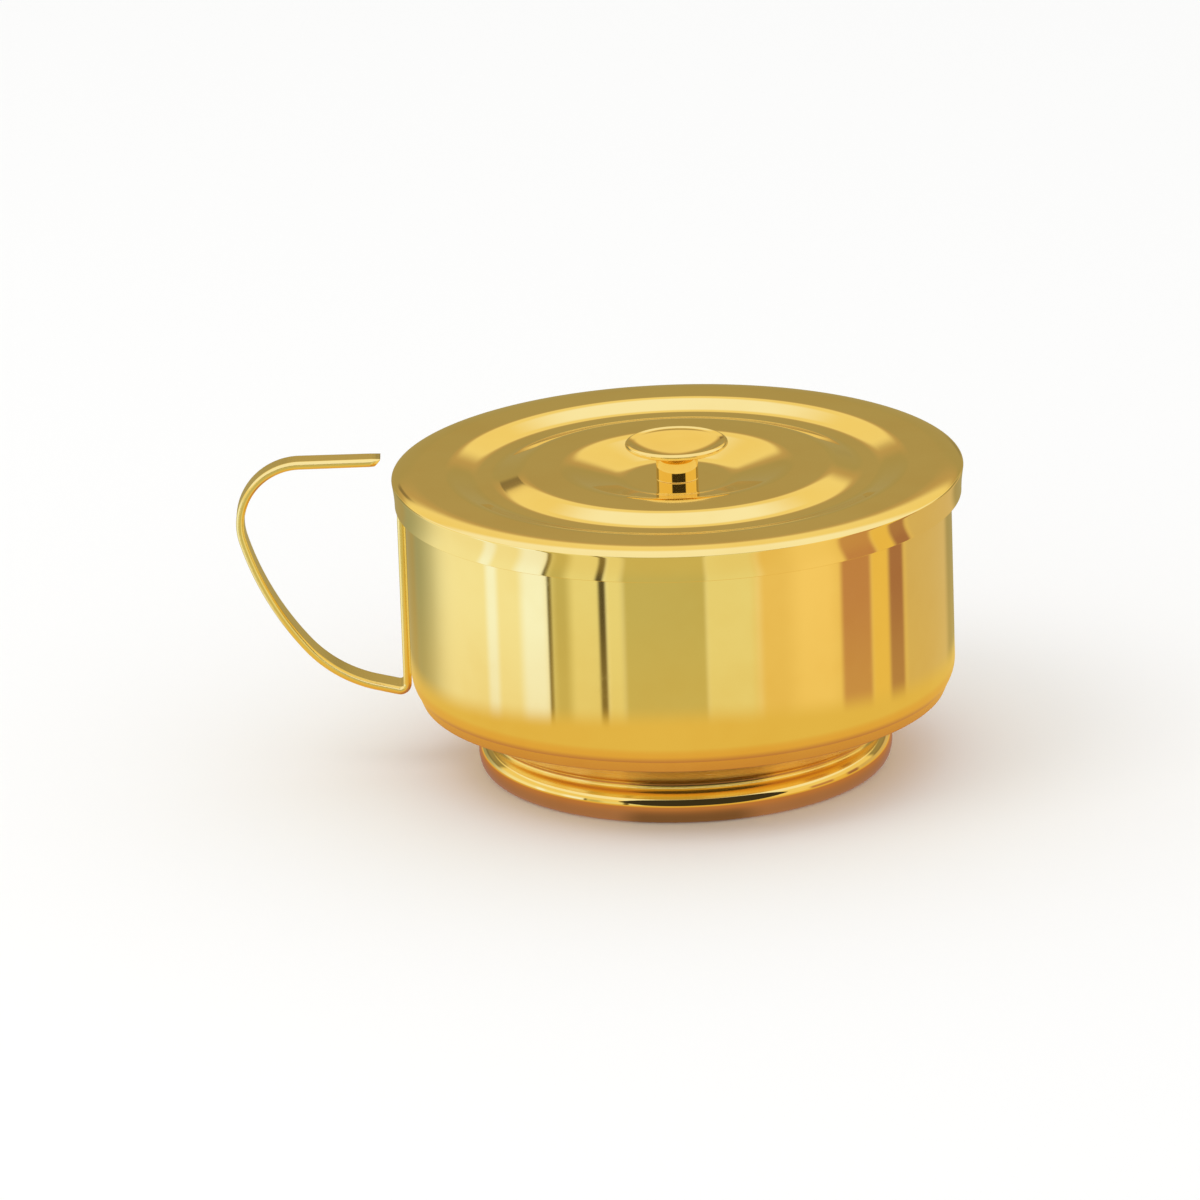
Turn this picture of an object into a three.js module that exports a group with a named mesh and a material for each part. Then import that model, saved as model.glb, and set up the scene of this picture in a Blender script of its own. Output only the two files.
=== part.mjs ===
// Stacking ciborium: a shallow lidded bowl on a low spun foot, with one hooked strap handle.
// Units are millimetres and +Z is up. The vessel is turned about its own axis, the handle reaches
// to -X and the front faces -Y. The origin is at the bottom centre of the whole outline.
import * as THREE from 'three';

// Driving dimensions of the bowl
const bowlRadius = 66.9; // outside of the straight wall
const bowlSheet = 1.0; // thickness of the drawn sheet
const bowlCornerRadius = 8.0; // outside radius where the wall turns in to the floor
const wallHeight = 49.1; // straight wall, from the top of the corner to the rim
const rimBead = 1.15; // radius of the bead that the rim is rolled to, flush with the inside of the wall

// Driving dimensions of the foot
const footSheet = 0.9;
const landInner = 47.4; // inside radius of the flat ring that the vessel stands on
const rimLand = 1.2; // width of that ring
const rimBulge = 2.4; // how far the rolled rim swells past it
const rimHeight = 4.3; // height of the rim's widest circle
const rimRoll = 4.2; // radius that rolls the rim over at its top
const rimRollEnd = 60; // degrees of that roll
const coveRadius = 1.4; // hollow between the rim and the cone
const coneAngle = 27.3; // rise of the cone above the level, in degrees
const seatAngle = 51.2; // where on the bowl's corner the cone's edge meets it, in degrees below level
const seatStep = 0.4; // how far the cone's edge stands out past its seat
const seatEdge = 0.5; // height of that edge

// Driving dimensions of the lid
const lidSheet = 0.9;
const lidOverhang = 0.6; // how far the lid's edge stands out past its skirt
const edgeRounding = 1.4;
const skirtDepth = 7.8; // from the flat top down to the skirt's lower edge
const grooveInner = 37.1; // radius where the ring-shaped recess begins
const grooveFloorInner = 45.8; // inside radius of its flat floor
const grooveOuter = 57.0; // radius where it ends
const grooveDepth = 2.0;
const dishRadius = 32.0;
const dishDepth = 3.3;
const dishFloorRadius = 12.5; // flat at the bottom of the dish, where the knob stands

// Driving dimensions of the knob and its fixing
const knobNeckRadius = 5.15;
const knobHeadRadius = 12.7;
const knobHeight = 9.1;
const knobRimHeight = 1.6; // thickness of the head's edge
const knobHeadHeight = 4.6; // from the neck's top to the head's edge
const knobFlare = 1.5; // how far the knob's foot spreads past its neck
const knobDishDepth = 1.9;
const screwRadius = 2.0;
const screwHeadRadius = 3.8;
const screwHeadHeight = 2.2;
const screwHeadSide = 0.9; // straight side of the head, under its dome
const screwEndBevel = 0.5;
const screwReach = 5.2; // length of screw inside the knob
const washerRadius = 5.0;
const washerThickness = 0.8;

// Driving dimensions of the handle
const strapThickness = 2.0;
const strapRootWidth = 9.6;
const strapTipWidth = 6.2;
const strapEdge = 0.35; // small bevel along the strap's edges
const strapReach = 38.4; // from the lid's edge out to the back of the handle
const strapRise = 4.7; // top of the handle above the lid's flat top
const strapTipGap = 2.2; // from the lid's edge to the free tip
const tipUndercut = 1.8; // the end is cut back underneath
const legGap = 1.0; // from the skirt's lower edge down to the leg's end
const rootBend = 1.8; // bend at the leg's foot, to the middle of the strap
const rootClimb = 14; // degrees above level as the strap leaves the wall
const bellyEnd = 50; // degrees above level where the belly arc ends
const backEnd = 74; // degrees above level where the back arc ends
const bellyArc = 32;
const backArc = 75;
const topArc = 15;

// Clearances
const seatGap = 0.3; // soldered and screwed seats
const skirtClearance = 0.3; // the lid's skirt round the bowl's bead
const stackClearance = 0.3; // the foot's flat ring in the recess of a lid below it
const screwClearance = 0.3;

// Facets
const turnSteps = 60; // round the bowl, foot and lid
const smallTurnSteps = 30; // round the knob, screw and washer

// Heights and radii that follow from the driving dimensions
const degree = Math.PI / 180;
const landOuter = landInner + rimLand;
const rimRadius = landOuter + rimBulge;
const grooveFloorOuter = landOuter + stackClearance;
const cornerCentreRadius = bowlRadius - bowlCornerRadius;
const seatRadius = bowlCornerRadius + seatGap;
const coneEdgeRadius = cornerCentreRadius + seatRadius * Math.cos(seatAngle * degree) + seatStep;
const coveCentre = new THREE.Vector2(
  rimRadius - rimRoll + (rimRoll + coveRadius) * Math.cos(rimRollEnd * degree),
  rimHeight + (rimRoll + coveRadius) * Math.sin(rimRollEnd * degree),
);
const coneFoot = new THREE.Vector2(
  coveCentre.x - coveRadius * Math.sin(coneAngle * degree),
  coveCentre.y + coveRadius * Math.cos(coneAngle * degree),
);
const coneSlope = Math.tan(coneAngle * degree);
const coneEdgeHeight = coneFoot.y + (coneEdgeRadius - coneFoot.x) * coneSlope;
const seatHeight = coneEdgeHeight + seatEdge;
const cornerCentreHeight = seatHeight + seatRadius * Math.sin(seatAngle * degree);
const floorUnderside = cornerCentreHeight - bowlCornerRadius;
const rimTop = cornerCentreHeight + wallHeight;
const lidUnderside = rimTop + seatGap;
const lidTop = lidUnderside + lidSheet;
const beadRadius = bowlRadius - bowlSheet + 2 * rimBead;
const skirtInner = beadRadius + skirtClearance;
const skirtOuter = skirtInner + lidSheet;
const lidRadius = skirtOuter + lidOverhang;
const skirtEdge = lidTop - skirtDepth;
const knobSeat = lidTop - dishDepth;
const boreRadius = screwRadius + screwClearance;
const washerTop = knobSeat - lidSheet - seatGap;
const handleBack = -(lidRadius + strapReach);
const axisX = -(handleBack + lidRadius) / 2;

// Points of an arc about a centre, from one angle to another in degrees, both ends included
function arc(centreX, centreY, radius, from, to, steps) {
  const points = [];
  for (let i = 0; i <= steps; i++) {
    const angle = (from + ((to - from) * i) / steps) * degree;
    points.push(new THREE.Vector2(centreX + radius * Math.cos(angle), centreY + radius * Math.sin(angle)));
  }
  return points;
}

// A smooth step between two points that is level at both ends, without its first point
function swell(start, end, steps) {
  const points = [];
  for (let i = 1; i <= steps; i++) {
    const share = i / steps;
    const rise = (1 - Math.cos(Math.PI * share)) / 2;
    points.push(new THREE.Vector2(start.x + (end.x - start.x) * share, start.y + (end.y - start.y) * rise));
  }
  return points;
}

// The same outline moved square to itself: the other face of a sheet
function offsetOutline(points, distance) {
  return points.map((spot, i) => {
    const before = points[Math.max(i - 1, 0)];
    const after = points[Math.min(i + 1, points.length - 1)];
    const along = after.clone().sub(before).normalize();
    return new THREE.Vector2(spot.x + along.y * distance, spot.y - along.x * distance);
  });
}

// A solid turned about Z from an outline of radius and height, given anticlockwise
function turned(outline, steps) {
  return new THREE.LatheGeometry(outline, steps).rotateX(Math.PI / 2);
}

function closed(outline) {
  return [...outline, outline[0].clone()];
}

function point(radius, height) {
  return new THREE.Vector2(radius, height);
}

// Drawn bowl: flat floor, round corner, straight wall and a rim rolled outwards to a bead
function bowlGeometry() {
  const innerCorner = bowlCornerRadius - bowlSheet;
  const beadCentre = beadRadius - rimBead;
  const beadStart = -Math.acos((bowlRadius - beadCentre) / rimBead) / degree;
  const outline = [
    point(0, floorUnderside),
    ...arc(cornerCentreRadius, cornerCentreHeight, bowlCornerRadius, -90, 0, 7),
    ...arc(beadCentre, rimTop - rimBead, rimBead, beadStart, 180, 8),
    ...arc(cornerCentreRadius, cornerCentreHeight, innerCorner, 0, -90, 6),
    point(0, floorUnderside + bowlSheet),
  ];
  return turned(outline, turnSteps);
}

// The highest that the foot may reach at a radius without touching the bowl above it
function underBowl(radius) {
  const fromCentre = radius - cornerCentreRadius;
  if (fromCentre <= 0) return floorUnderside - seatGap;
  return cornerCentreHeight - Math.sqrt(seatRadius ** 2 - fromCentre ** 2);
}

// Spun foot: rounded rim, tight hollow, and a cone whose edge takes the bowl's corner as its seat
function footGeometry() {
  const rolledRim = [];
  const rimSteps = 5;
  for (let i = 0; i <= rimSteps; i++) {
    const turn = (i / rimSteps) * 90 * degree;
    rolledRim.push(point(landOuter + rimBulge * Math.sin(turn), rimHeight * (1 - Math.cos(turn))));
  }
  const rimTopRoll = arc(rimRadius - rimRoll, rimHeight, rimRoll, 0, rimRollEnd, 3).slice(1);
  const cove = arc(coveCentre.x, coveCentre.y, coveRadius, 180 + rimRollEnd, 90 + coneAngle, 5).slice(1);
  const insideStart = coneEdgeRadius - seatStep;
  const innerCove = arc(coveCentre.x, coveCentre.y, coveRadius + footSheet, 90 + coneAngle, 180, 3);
  const insideSteps = 6;
  const seat = [];
  for (let i = 0; i < insideSteps; i++) {
    const radius = insideStart + ((innerCove[0].x - insideStart) * i) / insideSteps;
    const underSheet = innerCove[0].y + (radius - innerCove[0].x) * coneSlope;
    seat.push(point(radius, Math.min(underBowl(radius), underSheet)));
  }
  const outline = closed([
    ...rolledRim,
    ...rimTopRoll,
    ...cove,
    point(coneEdgeRadius, coneEdgeHeight),
    ...seat,
    ...innerCove,
    point(innerCove.at(-1).x, rimHeight / 2),
    point(landInner, rimHeight / 4),
    point(landInner, 0),
  ]);
  return turned(outline, turnSteps);
}

// The lid's upper face, from the screw hole out to the skirt's lower edge
function lidFace() {
  const dishFloorEdge = point(dishFloorRadius, knobSeat);
  const grooveStart = point(grooveInner, lidTop);
  const grooveFloorStart = point(grooveFloorInner, lidTop - grooveDepth);
  const grooveFloorEnd = point(grooveFloorOuter, lidTop - grooveDepth);
  const skirtTop = lidTop - edgeRounding;
  const drawnIn = [];
  const drawSteps = 4;
  for (let i = 0; i <= drawSteps; i++) {
    const share = i / drawSteps;
    const inward = Math.sin(share * 90 * degree) * lidOverhang;
    drawnIn.push(point(lidRadius - inward, skirtTop + (skirtEdge - skirtTop) * share));
  }
  return [
    point(boreRadius, knobSeat),
    dishFloorEdge,
    ...swell(dishFloorEdge, point(dishRadius, lidTop), 7),
    grooveStart,
    ...swell(grooveStart, grooveFloorStart, 4),
    grooveFloorEnd,
    ...swell(grooveFloorEnd, point(grooveOuter, lidTop), 4),
    ...arc(lidRadius - edgeRounding, skirtTop, edgeRounding, 90, 0, 3),
    ...drawnIn.slice(1),
  ];
}

// Pressed lid: one sheet, so its lower face is the upper face moved by the sheet's thickness
function lidGeometry() {
  const upper = lidFace();
  const lower = offsetOutline(upper, lidSheet);
  lower[0] = point(boreRadius, upper[0].y - lidSheet);
  return turned(closed([...lower, ...upper.slice().reverse()]), turnSteps);
}

// Turned knob: spread foot, straight neck, trumpet underside, thin edge and dished top
function knobGeometry() {
  const foot = knobSeat + seatGap;
  const top = foot + knobHeight;
  const headEdge = top - knobRimHeight / 2;
  const neckTop = headEdge - knobHeadHeight;
  const trumpet = [];
  const trumpetSteps = 5;
  for (let i = 0; i <= trumpetSteps; i++) {
    const turn = (i / trumpetSteps) * 90 * degree;
    const reach = knobHeadRadius - knobRimHeight / 2 - knobNeckRadius;
    const rise = headEdge - knobRimHeight / 2 - neckTop;
    trumpet.push(point(knobNeckRadius + reach * (1 - Math.cos(turn)), neckTop + rise * Math.sin(turn)));
  }
  const dish = [];
  const dishSteps = 5;
  const dishReach = knobHeadRadius - knobRimHeight / 2;
  for (let i = 1; i <= dishSteps; i++) {
    const radius = dishReach * (1 - i / dishSteps);
    const sink = (1 + Math.cos((Math.PI * radius) / dishReach)) / 2;
    dish.push(point(radius, top - knobDishDepth * sink));
  }
  const outline = [
    point(0, foot + screwReach + screwClearance),
    point(boreRadius, foot + screwReach + screwClearance),
    point(boreRadius, foot),
    ...arc(knobNeckRadius + knobFlare, foot + knobFlare, knobFlare, 270, 180, 3),
    ...trumpet,
    ...arc(knobHeadRadius - knobRimHeight / 2, headEdge, knobRimHeight / 2, -90, 90, 6).slice(1),
    ...dish,
  ];
  return turned(outline, smallTurnSteps);
}

// Flat washer under the dish, between the lid and the screw's head
function washerGeometry() {
  const outline = closed([
    point(boreRadius, washerTop - washerThickness),
    point(washerRadius, washerTop - washerThickness),
    point(washerRadius, washerTop),
    point(boreRadius, washerTop),
  ]);
  return turned(outline, smallTurnSteps);
}

// Round-headed screw, head down, whose shank goes up through the washer and the lid into the knob
function screwGeometry() {
  const underHead = washerTop - washerThickness - seatGap;
  const shankEnd = knobSeat + seatGap + screwReach;
  const crown = screwHeadHeight - screwHeadSide;
  const dome = [];
  const domeSteps = 3;
  for (let i = 0; i <= domeSteps; i++) {
    const turn = (i / domeSteps) * 90 * degree;
    const height = underHead - screwHeadSide - crown * Math.cos(turn);
    dome.push(point(screwHeadRadius * Math.sin(turn), height));
  }
  const outline = [
    ...dome,
    point(screwHeadRadius, underHead),
    point(screwRadius, underHead),
    point(screwRadius, shankEnd - screwEndBevel),
    point(screwRadius - screwEndBevel, shankEnd),
    point(0, shankEnd),
  ];
  return turned(outline, smallTurnSteps);
}

// Middle line of the strap, from the top of its leg to its free tip, in X and Z from the vessel's axis.
// Each arc is tangent to the next. A heading is the strap's direction of travel above level, away
// from the vessel, so a point of an arc lies at (-sin, -cos) of its heading from the arc's centre.
function strapLine() {
  const half = strapThickness / 2;
  const legX = -(bowlRadius + seatGap + half);
  const onArc = (centre, radius, heading) => point(
    centre.x - radius * Math.sin(heading * degree),
    centre.y - radius * Math.cos(heading * degree),
  );
  const centreFrom = (spot, radius, heading) => point(
    spot.x + radius * Math.sin(heading * degree),
    spot.y + radius * Math.cos(heading * degree),
  );
  const topHeight = lidTop + strapRise - half;
  const topCentre = point(handleBack + half + topArc, topHeight - topArc);
  const backCentre = centreFrom(onArc(topCentre, topArc, backEnd), backArc, backEnd);
  const bellyCentre = centreFrom(onArc(backCentre, backArc, bellyEnd), bellyArc, bellyEnd);
  const bellyStart = onArc(bellyCentre, bellyArc, rootClimb);
  const bendX = legX - rootBend;
  const bendEndX = bendX - rootBend * Math.sin(rootClimb * degree);
  const bendEndHeight = bellyStart.y - (bendEndX - bellyStart.x) * Math.tan(rootClimb * degree);
  const bendCentre = point(bendX, bendEndHeight + rootBend * Math.cos(rootClimb * degree));
  const stretches = [
    { centre: bendCentre, radius: rootBend, from: -90, to: rootClimb, steps: 5 },
    { centre: bellyCentre, radius: bellyArc, from: rootClimb, to: bellyEnd, steps: 6 },
    { centre: backCentre, radius: backArc, from: bellyEnd, to: backEnd, steps: 5 },
    { centre: topCentre, radius: topArc, from: backEnd, to: 180, steps: 10 },
  ];
  const line = [{ spot: point(legX, skirtEdge - legGap), heading: -90 }];
  for (const { centre, radius, from, to, steps } of stretches) {
    for (let i = 0; i <= steps; i++) {
      const heading = from + ((to - from) * i) / steps;
      line.push({ spot: onArc(centre, radius, heading), heading });
    }
  }
  line.push({ spot: point(-(lidRadius + strapTipGap + tipUndercut / 2), topHeight), heading: 180 });
  return line.filter(({ spot }, i) => i === 0 || spot.distanceTo(line[i - 1].spot) > 0.01);
}

// One flat strap lofted along its middle line, its width tapering from the root to the tip
function handleGeometry() {
  const line = strapLine();
  const half = strapThickness / 2;
  const corners = [[-1, -1], [1, -1], [1, 1], [-1, 1]];
  let length = 0;
  const distances = line.map(({ spot }, i) => {
    length += i === 0 ? 0 : spot.distanceTo(line[i - 1].spot);
    return length;
  });
  const positions = [];
  line.forEach(({ spot, heading }, i) => {
    const halfWidth = (strapRootWidth + ((strapTipWidth - strapRootWidth) * distances[i]) / length) / 2;
    const outward = point(-Math.sin(heading * degree), -Math.cos(heading * degree));
    const isTip = i === line.length - 1;
    for (const [side, face] of corners) {
      const ends = side * face > 0
        ? [[halfWidth, half - strapEdge], [halfWidth - strapEdge, half]]
        : [[halfWidth - strapEdge, half], [halfWidth, half - strapEdge]];
      for (const [across, through] of ends) {
        const shift = face * through;
        const cut = isTip ? (shift / half) * (tipUndercut / 2) : 0;
        positions.push(spot.x + outward.x * shift + cut, side * across, spot.y + outward.y * shift);
      }
    }
  });
  const around = corners.length * 2;
  const indices = [];
  for (let ring = 0; ring < line.length - 1; ring++) {
    for (let i = 0; i < around; i++) {
      const a = ring * around + i;
      const b = ring * around + ((i + 1) % around);
      indices.push(a, b, b + around, a, b + around, a + around);
    }
  }
  const last = (line.length - 1) * around;
  for (let i = 1; i < around - 1; i++) {
    indices.push(0, i + 1, i);
    indices.push(last, last + i, last + i + 1);
  }
  const geometry = new THREE.BufferGeometry();
  geometry.setAttribute('position', new THREE.Float32BufferAttribute(positions, 3));
  geometry.setIndex(indices);
  geometry.computeVertexNormals();
  return geometry;
}

const polishedGold = { color: 0xd8ac45, roughness: 0.08, metalness: 1 };
const warmGold = { color: 0xd9a23f, roughness: 0.12, metalness: 1 };
const fixingBrass = { color: 0xb98f45, roughness: 0.3, metalness: 1 };

function piece(name, geometry, finish) {
  const mesh = new THREE.Mesh(geometry, new THREE.MeshStandardMaterial(finish));
  mesh.name = name;
  return mesh;
}

const vessel = new THREE.Group();
vessel.add(
  piece('bowl', bowlGeometry(), polishedGold),
  piece('foot_ring', footGeometry(), warmGold),
  piece('handle', handleGeometry(), polishedGold),
);

const cover = new THREE.Group();
cover.add(
  piece('lid', lidGeometry(), polishedGold),
  piece('knob', knobGeometry(), warmGold),
  piece('knob_screw', screwGeometry(), fixingBrass),
  piece('screw_washer', washerGeometry(), fixingBrass),
);

const ciborium = new THREE.Group();
ciborium.add(vessel, cover);
ciborium.position.x = axisX;

export default ciborium;
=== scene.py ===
import math

import bmesh
import bpy
from mathutils import Matrix, Vector


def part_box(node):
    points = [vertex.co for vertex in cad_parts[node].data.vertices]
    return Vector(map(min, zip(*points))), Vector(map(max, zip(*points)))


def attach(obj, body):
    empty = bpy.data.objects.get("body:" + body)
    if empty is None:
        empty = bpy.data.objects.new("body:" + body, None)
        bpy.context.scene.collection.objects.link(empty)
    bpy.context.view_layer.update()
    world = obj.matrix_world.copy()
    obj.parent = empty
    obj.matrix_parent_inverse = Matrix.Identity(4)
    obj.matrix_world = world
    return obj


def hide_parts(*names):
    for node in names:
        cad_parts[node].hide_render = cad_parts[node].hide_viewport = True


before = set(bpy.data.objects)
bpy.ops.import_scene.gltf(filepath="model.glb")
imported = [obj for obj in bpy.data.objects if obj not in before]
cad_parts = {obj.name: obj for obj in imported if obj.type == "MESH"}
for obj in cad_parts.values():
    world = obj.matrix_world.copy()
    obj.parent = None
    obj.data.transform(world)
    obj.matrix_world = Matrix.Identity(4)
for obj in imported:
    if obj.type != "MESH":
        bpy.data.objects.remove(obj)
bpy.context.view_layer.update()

MM = 0.001

# Sizes read from the frame, in millimetres
bowl_low, bowl_high = (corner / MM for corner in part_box("bowl"))
foot_low, foot_high = (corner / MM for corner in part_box("foot_ring"))
lid_low, lid_high = (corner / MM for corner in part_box("lid"))
knob_low, knob_high = (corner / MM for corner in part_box("knob"))
screw_low, screw_high = (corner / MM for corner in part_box("knob_screw"))
washer_low, washer_high = (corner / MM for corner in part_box("screw_washer"))
strap_low, strap_high = (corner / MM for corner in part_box("handle"))

AXIS_X = (bowl_low.x + bowl_high.x) / 2
BEAD_RADIUS = (bowl_high.x - bowl_low.x) / 2
BOWL_FLOOR = bowl_low.z
BOWL_RIM = bowl_high.z
LID_RADIUS = (lid_high.x - lid_low.x) / 2
SKIRT_EDGE = lid_low.z
LID_TOP = lid_high.z
CONE_EDGE_RADIUS = (foot_high.x - foot_low.x) / 2
KNOB_HEAD_RADIUS = (knob_high.x - knob_low.x) / 2
SCREW_HEAD_RADIUS = (screw_high.x - screw_low.x) / 2
WASHER_RADIUS = (washer_high.x - washer_low.x) / 2
STRAP_ROOT_WIDTH = strap_high.y - strap_low.y

# Bowl: its sheet, the bead at its rim and its lower corner, in millimetres
BOWL_SHEET = 1.0
RIM_BEAD = 1.15
BOWL_CORNER = 8.0
BOWL_RADIUS = BEAD_RADIUS - 2 * RIM_BEAD + BOWL_SHEET

# Foot: flat ring it stands on, swelling rim, tight hollow and cone, in millimetres and degrees
FOOT_SHEET = 0.9
LAND_INNER = 47.4
RIM_LAND = 1.2
RIM_BULGE = 2.4
RIM_HEIGHT = 4.3
RIM_ROLL = 4.2
RIM_ROLL_END = 60.0
COVE_RADIUS = 1.4
CONE_ANGLE = 27.3
HOLLOW_LOW = 7.6
HOLLOW_HIGH = 9.2
SEAT_STEP = 0.4
SOLDER_GAP = 0.03
SOLDER_RADIUS = 65.6
SOLDER_TUCK = 1.2
SOLDER_DEPTH = 0.3

# Lid: rounded edge, skirt, ring-shaped recess and dish, in millimetres and shares of a slope
LID_SHEET = 0.9
EDGE_ROUNDING = 1.4
EDGE_WIDTH = 6.0
SKIRT_BOTTOM_RADIUS = 69.4
GROOVE_INNER = 37.1
GROOVE_FLOOR_INNER = 45.8
GROOVE_FLOOR_OUTER = 48.9
GROOVE_OUTER = 57.0
GROOVE_DEPTH = 1.8
GROOVE_EASE = 0.27
DISH_RADIUS = 29.0
DISH_DEPTH = 3.3
DISH_EASE = 0.2
DISH_FLOOR_RADIUS = 12.5

# Knob and the screw that holds it, in millimetres and degrees
KNOB_SEAT = LID_TOP - DISH_DEPTH
KNOB_NECK_RADIUS = 5.15
KNOB_RIM_HEIGHT = 1.6
KNOB_HEAD_HEIGHT = 4.6
KNOB_FOOT_FILLET = 0.15
KNOB_FOOT_GAP = 0.012
KNOB_DISH_DEPTH = 1.6
KNOB_DISH_SLANT = 6.5
KNOB_SLANT_REGION = 1.5 * KNOB_DISH_DEPTH
SCREW_RADIUS = 2.0
SCREW_HEAD_HEIGHT = 2.2
SCREW_HEAD_SIDE = 0.9
SCREW_END_BEVEL = 0.5
SCREW_CLEARANCE = 0.3
BORE_RADIUS = SCREW_RADIUS + SCREW_CLEARANCE

# Strap: its section, its leg, the four bends of its middle line and its tip, in millimetres and degrees
STRAP_THICKNESS = 2.0
STRAP_TIP_WIDTH = 6.2
STRAP_EDGE = 0.9
STRAP_END_EDGE = 0.3
FULLEST_EDGE = 0.96
STRAP_TIP_GAP = 2.2
TIP_UNDERCUT = 1.8
LEG_GAP = 1.0
ROOT_BEND = 1.8
ROOT_CLIMB = 14.0
BELLY_ARC = 32.0
BELLY_END = 50.0
BACK_ARC = 75.0
BACK_END = 74.0
TOP_ARC = 15.0
DOWNWARD = -90.0
TOWARDS_LID = 180.0

# How finely the polished surfaces are drawn, in millimetres, degrees, shares and steps
FINE = 0.3
TOUCHING = 0.01
GUARD = 0.12
GUARD_SHARE = 0.25
LONG_STRAIGHT = 4 * GUARD
SOFT_CORNER = 0.18
SOFT_CORNER_STEPS = 6
SHARP_TURN = 20
NEIGHBOUR_SHARE = 0.45
FEWEST_ARC_STEPS = 6
FEWEST_SLOPE_STEPS = 24
SCREW_CROWN_STEPS = 16
RIM_SWELL_STEPS = 24
CURVE_STEPS = 30
BROAD_CURVE_STEPS = 40
SEAT_STEPS = 60
STRAP_CORNER_STEPS = 6
FEWEST_BEND_STEPS = 12
FEWEST_STRAIGHT_STEPS = 4
STRAIGHT_STEP = 2.0
TURN_STEPS = 320
LID_TURN_STEPS = 224
SMALL_TURN_STEPS = 160
MERGE_METRES = 1e-6


class Value:
    """One output of a node: arithmetic on it adds Math nodes."""

    def __init__(self, maker, socket):
        self.maker = maker
        self.socket = socket

    def math(self, operation, *others):
        return self.maker.math(operation, self, *others)

    def __add__(self, other):
        return self.math("ADD", other)

    __radd__ = __add__

    def __sub__(self, other):
        return self.math("SUBTRACT", other)

    def __rsub__(self, other):
        return self.maker.math("SUBTRACT", other, self)

    def __mul__(self, other):
        return self.math("MULTIPLY", other)

    def __truediv__(self, other):
        return self.math("DIVIDE", other)


class Made:
    """A node just made: an output of it is taken by name."""

    def __init__(self, maker, node):
        self.maker = maker
        self.node = node

    def __getitem__(self, name):
        return Value(self.maker, self.node.outputs[name])


class NodeMaker:
    """Adds nodes to one tree, for shaders and for geometry alike."""

    def __init__(self, tree):
        self.tree = tree

    def add(self, kind, settings=None, inputs=None):
        node = self.tree.nodes.new(kind)
        for name, setting in (settings or {}).items():
            setattr(node, name, setting)
        for name, value in (inputs or {}).items():
            self.put(value, node.inputs[name])
        return Made(self, node)

    def put(self, value, socket):
        """Gives a socket a link or a plain value."""
        if isinstance(value, Value):
            self.tree.links.new(value.socket, socket)
        else:
            socket.default_value = value

    def math(self, operation, *values):
        inputs = dict(enumerate(values))
        return self.add("ShaderNodeMath", {"operation": operation}, inputs)["Value"]

    def step(self, value, low, high):
        """0 below low and 1 above high, smooth between them."""
        return self.add(
            "ShaderNodeMapRange",
            {"interpolation_type": "SMOOTHSTEP"},
            {"Value": value, "From Min": low, "From Max": high},
        )["Result"]

    def between(self, value, low, high, soft):
        """1 where value lies from low to high, with edges as soft as given."""
        rising = self.step(value, low - soft, low + soft)
        return rising * (1 - self.step(value, high - soft, high + soft))

    def mix(self, under, over, factor):
        """A colour mixed from two others."""
        inputs = {"Factor": factor, 6: under, 7: over}
        made = self.add("ShaderNodeMix", {"data_type": "RGBA"}, inputs)
        return Value(self, made.node.outputs[2])

    def noise(self, where, scale, detail, roughness=0.5):
        """Smooth cloudy values about the middle of 0 to 1."""
        return self.add(
            "ShaderNodeTexNoise",
            {},
            {"Vector": where, "Scale": scale, "Detail": detail, "Roughness": roughness},
        )["Fac"]

    def here(self):
        """The place on the object, as a vector."""
        return self.add("ShaderNodeTexCoord")["Object"]

    def split(self, vector):
        """A vector's X, Y and Z."""
        return self.add("ShaderNodeSeparateXYZ", {}, {"Vector": vector})

    def join(self, x, y, z):
        """A vector of three numbers."""
        return self.add("ShaderNodeCombineXYZ", {}, {"X": x, "Y": y, "Z": z})["Vector"]

    def length(self, x, y):
        """Distance from the middle in plan."""
        return (x * x + y * y).math("SQRT")

    def bump(self, height, depth, under=None):
        """A surface's direction as raised by height, on top of another such direction if one is given."""
        inputs = {"Height": height, "Distance": depth, "Strength": 1.0}
        if under:
            inputs["Normal"] = under
        return self.add("ShaderNodeBump", {}, inputs)["Normal"]


def shares(steps):
    """Even shares from 0 to 1, both ends among them."""
    return [i / steps for i in range(steps + 1)]


def oval(centre, across, up, start, end, steps):
    """Points of part of an oval about a centre, from one angle to another in degrees."""
    points = []
    for share in shares(steps):
        angle = math.radians(start + (end - start) * share)
        points.append((centre[0] + across * math.cos(angle), centre[1] + up * math.sin(angle)))
    return points


def arc(centre, radius, start, end):
    """Points of an arc about a centre, from one angle to another in degrees."""
    length = math.radians(abs(end - start)) * radius
    steps = max(FEWEST_ARC_STEPS, math.ceil(length / FINE))
    return oval(centre, radius, radius, start, end, steps)


def slope(start, end, easing):
    """A straight slope between two points that eases in and out over the given share of its width."""
    steps = max(FEWEST_SLOPE_STEPS, math.ceil(math.dist(start, end) / FINE))
    points = []
    for share in shares(steps)[1:]:
        from_end = min(share, 1 - share)
        if from_end < easing:
            rise = from_end**2 / (2 * easing * (1 - easing))
        else:
            rise = (from_end - easing / 2) / (1 - easing)
        if share > 0.5:
            rise = 1 - rise
        points.append((start[0] + (end[0] - start[0]) * share, start[1] + (end[1] - start[1]) * rise))
    return points


def sheet_underside(points, thickness):
    """The other face of a sheet: the outline moved square to itself."""
    moved = []
    for i, (radius, height) in enumerate(points):
        before = points[max(i - 1, 0)]
        after = points[min(i + 1, len(points) - 1)]
        along_r, along_z = after[0] - before[0], after[1] - before[1]
        length = math.hypot(along_r, along_z)
        moved.append((radius + along_z / length * thickness, height - along_r / length * thickness))
    return moved


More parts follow.
